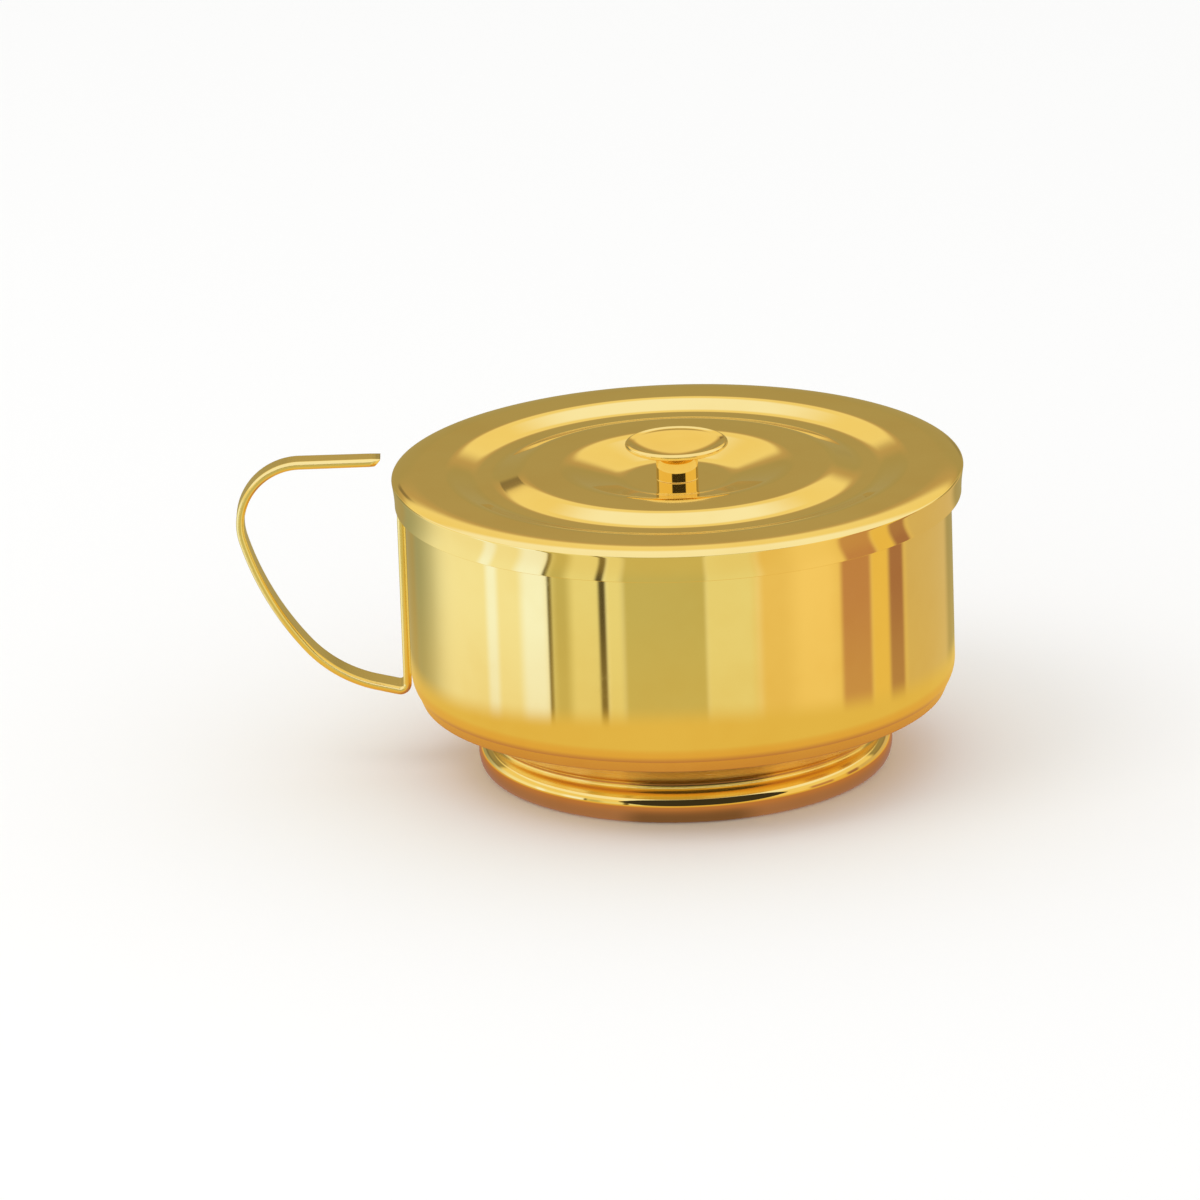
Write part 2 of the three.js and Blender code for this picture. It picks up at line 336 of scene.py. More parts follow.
def thinned(points):
    """The outline without points that lie on top of their neighbour."""
    kept = [points[0]]
    for spot in points[1:]:
        if math.dist(spot[:2], kept[-1][:2]) > TOUCHING:
            kept.append(spot)
    return kept


def part_way(before, after, share):
    """The point that lies the given share of the way between two others."""
    return tuple(b + (a - b) * share for b, a in zip(before, after))


def soft_corners(points, is_closed):
    """Rounds each sharp corner of an outline, so that a polished edge has a width to catch light."""
    points = thinned(points)
    if is_closed and math.dist(points[0], points[-1]) < TOUCHING:
        points = points[:-1]
    count = len(points)
    rounded = []
    for i, spot in enumerate(points):
        is_end = not is_closed and i in (0, count - 1)
        here = Vector(spot)
        back = Vector(points[i - 1]) - here
        ahead = Vector(points[(i + 1) % count]) - here
        turn = 0 if is_end else (-back).angle(ahead)
        if turn < math.radians(SHARP_TURN):
            rounded.append(spot)
            continue
        reach = min(SOFT_CORNER, NEIGHBOUR_SHARE * back.length, NEIGHBOUR_SHARE * ahead.length)
        start = here + back.normalized() * reach
        end = here + ahead.normalized() * reach
        for share in shares(SOFT_CORNER_STEPS):
            bent = start * (1 - share) ** 2 + here * 2 * share * (1 - share) + end * share**2
            rounded.append(tuple(bent))
    if is_closed:
        rounded.append(rounded[0])
    return rounded


def guarded(points):
    """Adds a point near both ends of each long straight, which keeps its shading flat to the corner."""
    full = [points[0]]
    for before, after in zip(points, points[1:]):
        length = math.dist(before, after)
        if length > LONG_STRAIGHT:
            full.append(part_way(before, after, GUARD / length))
            full.append(part_way(before, after, 1 - GUARD / length))
        full.append(after)
    return full


def bowl_outline():
    """Drawn bowl: flat floor, round corner, straight wall and a rim rolled outwards to a bead."""
    centre = (BOWL_RADIUS - BOWL_CORNER, BOWL_FLOOR + BOWL_CORNER)
    bead_centre = (BEAD_RADIUS - RIM_BEAD, BOWL_RIM - RIM_BEAD)
    bead_start = -math.degrees(math.acos((BOWL_RADIUS - bead_centre[0]) / RIM_BEAD))
    return [
        (0, BOWL_FLOOR),
        *arc(centre, BOWL_CORNER, -90, 0),
        *arc(bead_centre, RIM_BEAD, bead_start, 180),
        *arc(centre, BOWL_CORNER - BOWL_SHEET, 0, -90),
        (0, BOWL_FLOOR + BOWL_SHEET),
    ]


def foot_outline():
    """Spun foot: rolled rim, tight hollow and a cone whose edge carries the bowl's corner."""
    land_outer = LAND_INNER + RIM_LAND
    roll_centre = (land_outer + RIM_BULGE - RIM_ROLL, RIM_HEIGHT)
    roll_end = math.radians(RIM_ROLL_END)
    cove = (
        roll_centre[0] + (RIM_ROLL + COVE_RADIUS) * math.cos(roll_end),
        roll_centre[1] + (RIM_ROLL + COVE_RADIUS) * math.sin(roll_end),
    )
    cone_rise = math.tan(math.radians(CONE_ANGLE))
    rolled_rim = oval((land_outer, RIM_HEIGHT), RIM_BULGE, RIM_HEIGHT, -90, 0, RIM_SWELL_STEPS)
    outer_cove = arc(cove, COVE_RADIUS, 180 + RIM_ROLL_END, 90 + CONE_ANGLE)
    inner_cove = arc(cove, COVE_RADIUS + FOOT_SHEET, 90 + CONE_ANGLE, 180)
    cone_start, cone_end = outer_cove[-1], inner_cove[0]
    cone_edge = (CONE_EDGE_RADIUS, cone_start[1] + (CONE_EDGE_RADIUS - cone_start[0]) * cone_rise)

    # The seat follows the bowl's corner and then goes over into the cone's inner face
    bowl_centre = Vector((BOWL_RADIUS - BOWL_CORNER, BOWL_FLOOR + BOWL_CORNER))
    seat = []
    for share in shares(SEAT_STEPS)[:-1]:
        radius = SOLDER_RADIUS + (cone_end[0] - SOLDER_RADIUS) * share
        from_centre = max(radius - bowl_centre.x, 0)
        height = bowl_centre.y - math.sqrt((BOWL_CORNER + SOLDER_GAP) ** 2 - from_centre**2)
        if radius <= CONE_EDGE_RADIUS - SEAT_STEP:
            height = min(height, cone_end[1] + (radius - cone_end[0]) * cone_rise)
        seat.append((radius, height))

    # The solder's face runs on into the bowl's metal, so that no lip shows where they meet
    meeting = Vector(seat[0])
    along = (meeting - Vector(cone_edge)).normalized()
    into_bowl = (bowl_centre - meeting).normalized()
    tuck = [tuple(meeting + along * SOLDER_TUCK), tuple(meeting + into_bowl * SOLDER_DEPTH)]
    return [
        *rolled_rim,
        *arc(roll_centre, RIM_ROLL, 0, RIM_ROLL_END)[1:],
        *outer_cove[1:],
        cone_edge,
        *tuck,
        *seat[1:],
        *inner_cove,
        (inner_cove[-1][0], RIM_HEIGHT / 2),
        (LAND_INNER, RIM_HEIGHT / 4),
        (LAND_INNER, 0),
        (land_outer, 0),
    ]


def lid_outline():
    """Pressed lid: the upper face, and the same face a sheet's thickness lower."""
    dish_floor = (DISH_FLOOR_RADIUS, KNOB_SEAT)
    groove_floor = LID_TOP - GROOVE_DEPTH
    groove_start = (GROOVE_INNER, LID_TOP)
    groove_inner = (GROOVE_FLOOR_INNER, groove_floor)
    groove_outer = (GROOVE_FLOOR_OUTER, groove_floor)
    edge_height = LID_TOP - EDGE_ROUNDING
    edge_centre = (LID_RADIUS - EDGE_WIDTH, edge_height)
    skirt = []
    for share in shares(CURVE_STEPS):
        inward = math.sin(math.pi / 2 * share) * (LID_RADIUS - SKIRT_BOTTOM_RADIUS)
        skirt.append((LID_RADIUS - inward, edge_height + (SKIRT_EDGE - edge_height) * share))
    upper = thinned([
        (BORE_RADIUS, KNOB_SEAT),
        dish_floor,
        *slope(dish_floor, (DISH_RADIUS, LID_TOP), DISH_EASE),
        groove_start,
        *slope(groove_start, groove_inner, GROOVE_EASE),
        groove_outer,
        *slope(groove_outer, (GROOVE_OUTER, LID_TOP), GROOVE_EASE),
        *oval(edge_centre, EDGE_WIDTH, EDGE_ROUNDING, 90, 0, BROAD_CURVE_STEPS),
        *skirt,
    ])
    lower = sheet_underside(upper, LID_SHEET)
    return [*lower, *reversed(upper), lower[0]]


def knob_outline():
    """Turned knob: straight neck, trumpet underside, thin edge and dished top."""
    foot, top = KNOB_SEAT + KNOB_FOOT_GAP, knob_high.z
    half_rim = KNOB_RIM_HEIGHT / 2
    head_edge = top - half_rim
    neck_top = head_edge - KNOB_HEAD_HEIGHT
    dish_reach = KNOB_HEAD_RADIUS - half_rim
    reach = dish_reach - KNOB_NECK_RADIUS
    rise = head_edge - half_rim - neck_top
    dish = []
    for share in shares(BROAD_CURVE_STEPS)[1:]:
        outward_share = 1 - share
        dish.append((dish_reach * outward_share, top - KNOB_DISH_DEPTH * (1 - outward_share**3)))
    fillet_centre = (KNOB_NECK_RADIUS + KNOB_FOOT_FILLET, foot + KNOB_FOOT_FILLET)
    bore_end = screw_high.z + SCREW_CLEARANCE
    return [
        (0, bore_end),
        (BORE_RADIUS, bore_end),
        (BORE_RADIUS, foot),
        *arc(fillet_centre, KNOB_FOOT_FILLET, 270, 180),
        *oval((KNOB_NECK_RADIUS + reach, neck_top), reach, rise, 180, 90, CURVE_STEPS),
        *arc((dish_reach, head_edge), half_rim, -90, 90)[1:],
        *dish,
    ]


def washer_outline():
    """Flat washer under the lid."""
    return [
        (BORE_RADIUS, washer_low.z),
        (WASHER_RADIUS, washer_low.z),
        (WASHER_RADIUS, washer_high.z),
        (BORE_RADIUS, washer_high.z),
        (BORE_RADIUS, washer_low.z),
    ]


def screw_outline():
    """Round-headed screw, head down."""
    under_head = screw_low.z + SCREW_HEAD_HEIGHT
    side_low = under_head - SCREW_HEAD_SIDE
    crown = SCREW_HEAD_HEIGHT - SCREW_HEAD_SIDE
    return [
        *oval((0, side_low), SCREW_HEAD_RADIUS, crown, -90, 0, SCREW_CROWN_STEPS),
        (SCREW_HEAD_RADIUS, under_head),
        (SCREW_RADIUS, under_head),
        (SCREW_RADIUS, screw_high.z - SCREW_END_BEVEL),
        (SCREW_RADIUS - SCREW_END_BEVEL, screw_high.z),
        (0, screw_high.z),
    ]


def slant_knob_dish(mesh):
    """Sinks the front of the polished dish a little, as the photograph's reflection has it."""
    reach = (KNOB_HEAD_RADIUS - KNOB_RIM_HEIGHT) * MM
    lowest = (knob_high.z - KNOB_SLANT_REGION) * MM
    slant = math.tan(math.radians(KNOB_DISH_SLANT))
    for vert in mesh.vertices:
        from_axis = math.hypot(vert.co.x - AXIS_X * MM, vert.co.y)
        if from_axis < reach and vert.co.z > lowest:
            vert.co.z += slant * vert.co.y * (1 - (from_axis / reach) ** 4)


def turning_tree():
    """Geometry nodes that turn an outline, given as a row of vertices in X and Z, about the axis."""
    tree = bpy.data.node_groups.new("turned_piece", "GeometryNodeTree")
    for name, kind in (
        ("Outline", "NodeSocketGeometry"),
        ("Steps", "NodeSocketInt"),
        ("Axis X", "NodeSocketFloat"),
        ("Finish", "NodeSocketMaterial"),
    ):
        tree.interface.new_socket(name, in_out="INPUT", socket_type=kind)
    tree.interface.new_socket("Piece", in_out="OUTPUT", socket_type="NodeSocketGeometry")
    maker = NodeMaker(tree)
    given = maker.add("NodeGroupInput")
    outline, steps = given["Outline"], given["Steps"]
    size = maker.add("GeometryNodeAttributeDomainSize", {}, {"Geometry": outline})
    count = size["Point Count"]
    grid = maker.add("GeometryNodeMeshGrid", {}, {"Vertices X": steps + 1, "Vertices Y": count})
    index = maker.add("GeometryNodeInputIndex")["Index"]
    ring = (index / count).math("FLOOR")
    along = index - ring * count
    position = maker.add("GeometryNodeInputPosition")["Position"]
    spot = maker.add(
        "GeometryNodeSampleIndex",
        {"data_type": "FLOAT_VECTOR", "domain": "POINT"},
        {"Geometry": outline, "Value": position, "Index": along},
    )["Value"]
    parts = maker.split(spot)
    angle = ring / steps * math.tau
    turned_x = parts["X"] * angle.math("COSINE") + given["Axis X"]
    turned_y = parts["X"] * angle.math("SINE")
    turned = maker.add(
        "GeometryNodeSetPosition",
        {},
        {"Geometry": grid["Mesh"], "Position": maker.join(turned_x, turned_y, parts["Z"])},
    )["Geometry"]
    joined = maker.add("GeometryNodeMergeByDistance", {}, {"Geometry": turned, "Distance": MERGE_METRES})
    smooth = maker.add("GeometryNodeSetShadeSmooth", {}, {"Geometry": joined["Geometry"]})
    real = maker.add("GeometryNodeRealizeInstances", {}, {"Geometry": smooth["Geometry"]})
    finished = maker.add(
        "GeometryNodeSetMaterial", {}, {"Geometry": real["Geometry"], "Material": given["Finish"]}
    )
    maker.add("NodeGroupOutput", {}, {"Piece": finished["Geometry"]})
    return tree


def set_input(modifier, name, value):
    """Sets a modifier's input by its name in the tree's interface."""
    for item in modifier.node_group.interface.items_tree:
        if item.name == name and item.in_out == "INPUT":
            modifier[item.identifier] = value


def outward(mesh):
    """Turns the faces of a closed mesh outwards."""
    shell = bmesh.new()
    shell.from_mesh(mesh)
    bmesh.ops.recalc_face_normals(shell, faces=shell.faces)
    if shell.calc_volume(signed=True) < 0:
        bmesh.ops.reverse_faces(shell, faces=shell.faces)
    shell.to_mesh(mesh)
    shell.free()
    mesh.update()


def turned_piece(name, outline, finish, tree, steps):
    """One piece turned from its outline, as a plain mesh."""
    is_closed = outline[0][0] > TOUCHING or outline[-1][0] > TOUCHING
    spots = guarded(soft_corners(outline, is_closed))
    rail = bpy.data.meshes.new(name + "_outline")
    rail.from_pydata([(radius * MM, 0, height * MM) for radius, height in spots], [], [])
    carrier = bpy.data.objects.new(name + "_outline", rail)
    bpy.context.scene.collection.objects.link(carrier)
    modifier = carrier.modifiers.new("turning", "NODES")
    modifier.node_group = tree
    set_input(modifier, "Steps", steps)
    set_input(modifier, "Axis X", AXIS_X * MM)
    set_input(modifier, "Finish", finish)
    seen = bpy.context.evaluated_depsgraph_get()
    mesh = bpy.data.meshes.new_from_object(carrier.evaluated_get(seen))
    mesh.name = name
    bpy.data.objects.remove(carrier)
    bpy.data.meshes.remove(rail)
    outward(mesh)
    return mesh


def on_arc(centre, radius, heading):
    """A point of the strap's middle line, where a heading is its climb away from the vessel."""
    turn = math.radians(heading)
    return centre[0] - radius * math.sin(turn), centre[1] - radius * math.cos(turn)


def strap_line():
    """Middle line of the strap from the top of its leg to its free tip: (X, Z, heading) in order."""
    half = STRAP_THICKNESS / 2
    leg_x = -(BOWL_RADIUS + SOLDER_GAP + half)
    top_height = strap_high.z - half
    back = strap_low.x - AXIS_X
    top_centre = (back + half + TOP_ARC, top_height - TOP_ARC)
    back_start = on_arc(top_centre, TOP_ARC, BACK_END)
    back_centre = on_arc(back_start, -BACK_ARC, BACK_END)
    belly_end = on_arc(back_centre, BACK_ARC, BELLY_END)
    belly_centre = on_arc(belly_end, -BELLY_ARC, BELLY_END)
    belly_start = on_arc(belly_centre, BELLY_ARC, ROOT_CLIMB)
    climb = math.radians(ROOT_CLIMB)
    bend_x = leg_x - ROOT_BEND
    bend_end_x = bend_x - ROOT_BEND * math.sin(climb)
    bend_end_z = belly_start[1] - (bend_end_x - belly_start[0]) * math.tan(climb)
    bend_centre = (bend_x, bend_end_z + ROOT_BEND * math.cos(climb))
    line = [(leg_x, SKIRT_EDGE - LEG_GAP, DOWNWARD)]
    for centre, radius, start, end in (
        (bend_centre, ROOT_BEND, DOWNWARD, ROOT_CLIMB),
        (belly_centre, BELLY_ARC, ROOT_CLIMB, BELLY_END),
        (back_centre, BACK_ARC, BELLY_END, BACK_END),
        (top_centre, TOP_ARC, BACK_END, TOWARDS_LID),
    ):
        length = math.radians(end - start) * radius
        for share in shares(max(FEWEST_BEND_STEPS, math.ceil(length / FINE / 2))):
            heading = start + (end - start) * share
            line.append((*on_arc(centre, radius, heading), heading))
    line.append((-(LID_RADIUS + STRAP_TIP_GAP + TIP_UNDERCUT / 2), top_height, TOWARDS_LID))
    return thinned(line)


def strap_rings():
    """Where the strap's sections stand, with extra ones near both ends of each straight."""
    line = strap_line()
    rings = []
    for before, after in zip(line, line[1:]):
        rings.append(before)
        length = math.dist(before[:2], after[:2])
        if length > LONG_STRAIGHT and before[2] == after[2]:
            inner = shares(max(FEWEST_STRAIGHT_STEPS, math.ceil(length / STRAIGHT_STEP)))[1:-1]
            for share in (GUARD / length, *inner, 1 - GUARD / length):
                rings.append(part_way(before, after, share))
    rings.append(line[-1])
    return rings


def strap_section(half_width, half_thickness, edge):
    """Outline of a flat bar with rounded edges, as (across, through)."""
    across, through = half_width - edge, half_thickness - edge
    section = []
    corners = ((across, through), (-across, through), (-across, -through), (across, -through))
    rounded = [
        oval(corner, edge, edge, 90 * i, 90 * i + 90, STRAP_CORNER_STEPS)
        for i, corner in enumerate(corners)
    ]
    for i, corner in enumerate(rounded):
        section.extend(corner)
        before, after = corner[-1], rounded[(i + 1) % len(rounded)][0]
        near = min(GUARD / math.dist(before, after), GUARD_SHARE)
        section.append(part_way(before, after, near))
        section.append(part_way(before, after, 1 - near))
    return section


def strap_mesh():
    """One flat strap lofted along its middle line, its width tapering from root to tip."""
    rings = strap_rings()
    half = STRAP_THICKNESS / 2
    distances = [0.0]
    for before, after in zip(rings, rings[1:]):
        distances.append(distances[-1] + math.dist(before[:2], after[:2]))
    whole = distances[-1]
    shell = bmesh.new()
    loops = []
    for (x, z, heading), distance in zip(rings, distances):
        half_width = (STRAP_ROOT_WIDTH + (STRAP_TIP_WIDTH - STRAP_ROOT_WIDTH) * distance / whole) / 2
        from_end = min(distance, whole - distance)
        in_rounding = 1 - min(from_end / STRAP_END_EDGE, 1)
        inset = STRAP_END_EDGE * (1 - math.sqrt(max(1 - in_rounding**2, 0)))
        edge = min(STRAP_EDGE, FULLEST_EDGE * (half - inset))
        turn = math.radians(heading)
        near_tip = max(0.0, 1 - (whole - distance) / TIP_UNDERCUT)
        loop = []
        for across, through in strap_section(half_width - inset, half - inset, edge):
            undercut = through / half * TIP_UNDERCUT / 2 * near_tip
            loop.append(shell.verts.new((
                (AXIS_X + x - through * math.sin(turn) + undercut) * MM,
                across * MM,
                (z - through * math.cos(turn)) * MM,
            )))
        loops.append(loop)
    for near, far in zip(loops, loops[1:]):
        for i, vert in enumerate(near):
            j = (i + 1) % len(near)
            shell.faces.new((vert, near[j], far[j], far[i]))
    shell.faces.new(loops[0])
    shell.faces.new(loops[-1])
    for face in shell.faces:
        face.smooth = True
    mesh = bpy.data.meshes.new("handle_strap")
    shell.to_mesh(mesh)
    shell.free()
    outward(mesh)
    return mesh


# Gold plate: its colours where it is clear and where it is deep
CLEAR_GOLD = ((0.95, 0.76, 0.33, 1), (0.93, 0.72, 0.29, 1))
WARM_GOLD = ((0.95, 0.73, 0.29, 1), (0.92, 0.68, 0.25, 1))
STRAP_GOLD = ((0.95, 0.77, 0.35, 1), (0.93, 0.74, 0.31, 1))

# Gold plate: how dull its parts are, and what its marks add to that
MIRROR_DULLNESS = 0.03
STRAP_DULLNESS = 0.13
HOLLOW_DULLNESS = 0.2
CLOUD_DULLNESS = 0.02
WIPE_DULLNESS = 0.045
LINE_DULLNESS = 0.012

# Gold plate: its marks, by how many go to a metre, how strong a noise shows and how deep they are in metres
TURNING_LINE_SCALE = 900
WARM_LINE_DRIFT = 300.0
TURNING_LINE_DEPTH = 2.0e-7
WAVE_SCALE = 26.0
WAVE_DEPTH = 2.5e-5
CLOUD_SCALE = 45.0
CLOUD_RANGE = (0.35, 0.75)
WIPE_SCALE = (60, 420, 160)
WIPE_TURN = (0.4, 0.3, 0.7)
WIPE_RANGE = (0.56, 0.8)

# Fixing brass: its colours where it is bright and where it has bloomed, its dullness and its bloom
BRASS = ((0.62, 0.44, 0.17, 1), (0.48, 0.32, 0.12, 1))
BRASS_DULLNESS = 0.22
BLOOM_DULLNESS = 0.18
BLOOM_SCALE = 380.0
BLOOM_RANGE = (0.35, 0.7)
BLOOM_DEPTH = 4.0e-6


def new_metal(name):
    """A metal material, with its node maker and its shader."""
    finish = bpy.data.materials.new(name)
    finish.use_nodes = True
    shader = finish.node_tree.nodes["Principled BSDF"].inputs
    shader["Metallic"].default_value = 1.0
    return finish, NodeMaker(finish.node_tree), shader


def gold_plate(name, colours, line_drift, dullness, hollow_dullness=0.0):
    """Mirror-polished gold plate: slow waves from the pressing, faint turning lines, light wipe marks.

    The foot's tight hollow, which a polishing wheel hardly reaches, is duller by the last value.
    """
    finish, maker, shader = new_metal(name)
    centred = maker.add(
        "ShaderNodeMapping",
        {"vector_type": "POINT"},
        {"Vector": maker.here(), "Location": (-AXIS_X * MM, 0, 0)},
    )["Vector"]
    parts = maker.split(centred)
    radius = maker.length(parts["X"], parts["Y"])
    lines_at = maker.join(
        radius * TURNING_LINE_SCALE + parts["Z"] * line_drift,
        parts["Z"] * TURNING_LINE_SCALE,
        0.0,
    )
    turning_lines = maker.noise(lines_at, 1.0, detail=3.0)
    waves = maker.noise(centred, WAVE_SCALE, detail=1.0, roughness=0.4)
    clouds = maker.noise(centred, CLOUD_SCALE, detail=3.0, roughness=0.6)
    wiped = maker.add(
        "ShaderNodeMapping", {}, {"Vector": centred, "Rotation": WIPE_TURN, "Scale": WIPE_SCALE}
    )["Vector"]
    wipe_marks = maker.step(maker.noise(wiped, 1.0, detail=4.0, roughness=0.65), *WIPE_RANGE)
    marks = clouds * CLOUD_DULLNESS + wipe_marks * WIPE_DULLNESS + turning_lines * LINE_DULLNESS
    roughness = dullness + marks
    if hollow_dullness:
        in_hollow = maker.step(parts["Z"], HOLLOW_LOW * MM, HOLLOW_HIGH * MM)
        roughness = roughness + in_hollow * hollow_dullness
    maker.put(maker.mix(*colours, maker.step(clouds, *CLOUD_RANGE)), shader["Base Color"])
    maker.put(roughness, shader["Roughness"])
    broad = maker.bump(waves, WAVE_DEPTH)
    maker.put(maker.bump(turning_lines, TURNING_LINE_DEPTH, broad), shader["Normal"])
    return finish


def satin_brass(name):
    """Turned brass of the fixing, with a dull bloom."""
    finish, maker, shader = new_metal(name)
    bloom = maker.noise(maker.here(), BLOOM_SCALE, detail=4.0, roughness=0.6)
    maker.put(maker.mix(*BRASS, maker.step(bloom, *BLOOM_RANGE)), shader["Base Color"])
    maker.put(BRASS_DULLNESS + bloom * BLOOM_DULLNESS, shader["Roughness"])
    maker.put(maker.bump(bloom, BLOOM_DEPTH), shader["Normal"])
    return finish


def place(name, mesh, node, body):
    """Makes the mesh a piece that stands for one CAD node."""
    piece = bpy.data.objects.new(name, mesh)
    bpy.context.scene.collection.objects.link(piece)
    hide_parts(node)
    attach(piece, body)
    return piece


def ciborium():
    """Every piece of the vessel and of its lid, finished."""
    clear_gold = gold_plate("clear_gold_plate", CLEAR_GOLD, 0.0, MIRROR_DULLNESS)
    warm_gold = gold_plate("warm_gold_plate", WARM_GOLD, WARM_LINE_DRIFT, MIRROR_DULLNESS)
    foot_gold = gold_plate(
        "foot_gold_plate", WARM_GOLD, WARM_LINE_DRIFT, MIRROR_DULLNESS, HOLLOW_DULLNESS
    )
    strap_gold = gold_plate("strap_gold_plate", STRAP_GOLD, 0.0, STRAP_DULLNESS)
    brass = satin_brass("satin_brass")
    tree = turning_tree()
    for name, outline, finish, slot, node, body, steps in (
        ("bowl_shell", bowl_outline(), clear_gold, "gold_plate", "bowl", "vessel", TURN_STEPS),
        ("foot_shell", foot_outline(), foot_gold, "warm_gold_plate", "foot_ring", "vessel", TURN_STEPS),
        ("lid_shell", lid_outline(), clear_gold, "gold_plate", "lid", "cover", LID_TURN_STEPS),
        ("knob_turning", knob_outline(), warm_gold, "warm_gold_plate", "knob", "cover", SMALL_TURN_STEPS),
        ("washer_ring", washer_outline(), brass, "fixing_brass", "screw_washer", "cover", SMALL_TURN_STEPS),
        ("screw_turning", screw_outline(), brass, "fixing_brass", "knob_screw", "cover", SMALL_TURN_STEPS),
    ):
        mesh = turned_piece(name, outline, finish, tree, steps)
        if node == "knob":
            slant_knob_dish(mesh)
        place(name, mesh, node, body)
    strap = strap_mesh()
    strap.materials.append(strap_gold)
    handle = place("handle_strap", strap, "handle", "vessel")

    # The photograph shows no mirror image of the strap in the wall
    handle.visible_glossy = False


# Colours of the studio that the gold reflects
WHITE_CLOTH = (1.0, 1.02, 1.0, 1)
BRIGHT_CLOTH = (1.0, 1.16, 1.5, 1)
CREAM_CLOTH = (0.96, 0.98, 0.82, 1)
BACKDROP = (0.42, 0.345, 0.150, 1)
WARM_BACKDROP = (0.53, 0.385, 0.170, 1)
GOLDEN_CLOTH = (0.93, 0.79, 0.38, 1)
LEFT_SHADE = (0.38, 0.385, 0.23, 1)
OLIVE_WALL = (0.58, 0.54, 0.26, 1)
PALE_WALL = (0.85, 0.83, 0.52, 1)
OCHRE_WALL = (0.86, 0.66, 0.27, 1)
BRIGHT_OCHRE = (0.95, 0.75, 0.34, 1)
GOLD_WALL = (0.69, 0.54, 0.27, 1)
COPPER_PANEL = (0.55, 0.29, 0.16, 1)
DARK_COPPER = (0.40, 0.20, 0.13, 1)
YELLOW_EDGE = (0.86, 0.62, 0.18, 1)
DARK_GAP = (0.10, 0.085, 0.05, 1)
DARK_ROOM = (0.045, 0.04, 0.03, 1)
WARM_TABLE = (0.80, 0.60, 0.18, 1)
ORANGE_TABLE = (0.78, 0.48, 0.12, 1)
# Painted shadow of the vessel on the table top: shade towards the foot, darkest at the foot's front and
# lighter at its sides
TABLE_SHADE = (0.50, 0.23, 0.12, 1)
TABLE_CONTACT_SHADOW = (0.20, 0.11, 0.08, 1)
SIDE_CONTACT_SHADOW = (0.38, 0.20, 0.16, 1)
FLOOR_PAPER = (0.93, 0.93, 0.925, 1)
BACKGROUND_WHITE = (1, 1, 1, 1)

# Upright stripes of the room, left to right: bearings of their two edges, softness and colour
ROOM_STRIPES = (
    (-118, 13, 14, CREAM_CLOTH),
    (-90, -84, 2, BRIGHT_CLOTH),
    (-71, -58, 3, BRIGHT_CLOTH),
    (-58.2, -55.8, 0.7, DARK_GAP),
    (-56, -33, 1.2, PALE_WALL),
    (-56, -48, 3, OLIVE_WALL),
    (-35.2, -32.0, 1.0, DARK_GAP),
    (-31.5, -25, 1.5, PALE_WALL),
    (-25, 10, 2, OLIVE_WALL),
    (10, 31, 1.5, PALE_WALL),
    (31, 181, 4, OCHRE_WALL),
    (47, 68, 6, BRIGHT_OCHRE),
    (70, 86, 1.8, COPPER_PANEL),
    (87, 97, 1.5, YELLOW_EDGE),
    (97, 107, 1.8, DARK_COPPER),
    (108, 181, 3, GOLD_WALL),
)

# Soft edges of the tent's cloths, from where they begin to where they end, in degrees
SHADE_TO_CREAM = (-148, -104)
ROOM_TO_GOLDEN = (5, 12)
SIDES_TO_BACK = (122, 146)
SIDES_TO_WHITE = (20.5, 25)
BACK_TO_WHITE = (36, 47)
BACKDROP_TO_WARM = (17.0, 22.5)
BACKDROP_EDGE = (146, 156)

# Doorway, backdrop and dark flags of the tent: two edges and their softness, in degrees
DOORWAY_BEARING = (-31, 45, 3)
DOORWAY_HEIGHT = (13, 21.5, 1.0)
BACKDROP_HEIGHT = (-32, 24.5, 3.0)
BLACK_FLAG_BEARING = (-169.5, -166, 0.8)
BLACK_FLAG_HEIGHT = (19, 24, 1.2)
GREY_FLAG_BEARING = (164, 170, 2.0)
GREY_FLAG_HEIGHT = (3, 10, 2.5)
LOW_FLAG_ASIDE = (124, 150, 3.0)
LOW_FLAG_HEIGHT = (5, 20, 2.0)
BLACK_FLAG_COVER = 0.6
GREY_FLAG_COVER = 0.35
LOW_FLAG_COVER = 0.7
FULLEST_COVER = 0.95

# Table top: soft edges of its colours, its painted shadow among them, and of what it hides, by distance
# from the middle in metres
CONTACT_SHADOW_TO_SHADE = (0.051, 0.062)
SHADE_TO_ORANGE = (0.065, 0.083)
ORANGE_TO_WARM = (0.080, 0.125)
FRONT_TO_SIDE = (0.22, 0.40)
TABLE_EDGE = (0.128, 0.147)
TABLE_HAZE = (0.135, 0.235)
TABLE_EDGE_COVER = 0.78
TABLE_RADIUS = 0.27
TABLE_FORWARD = 0.028
TABLE_DEPTH = 0.0002

# Tent, floor and the low card in front of the foot, in metres, degrees, shares and sides
TENT_RADIUS = 4.0
TENT_SUBDIVISIONS = 5
TABLE_SIDES = 128
FLOOR_REACH = 4.0
FLOOR_SIDES = 64
FLOOR_DEPTH = 0.0001
FLOOR_DULLNESS = 0.9
FLOOR_SHEEN = 0.1
LOW_CARD_RADIUS = 0.0537
LOW_CARD_LEFT = -21.0
LOW_CARD_RIGHT = 30.0
LOW_CARD_FOOT = 0.0048
LOW_CARD_HEIGHT = 0.0042
LOW_CARD_BELOW = 0.35
LOW_CARD_TIP = 0.00001
LOW_CARD_STEPS = 60

# Soft lamp above the front left, in metres and watts
LAMP_FROM_VESSEL = Vector((-0.8, -0.5, 1.4))
LAMP_SIZE = 0.9
LAMP_WATTS = 3.0


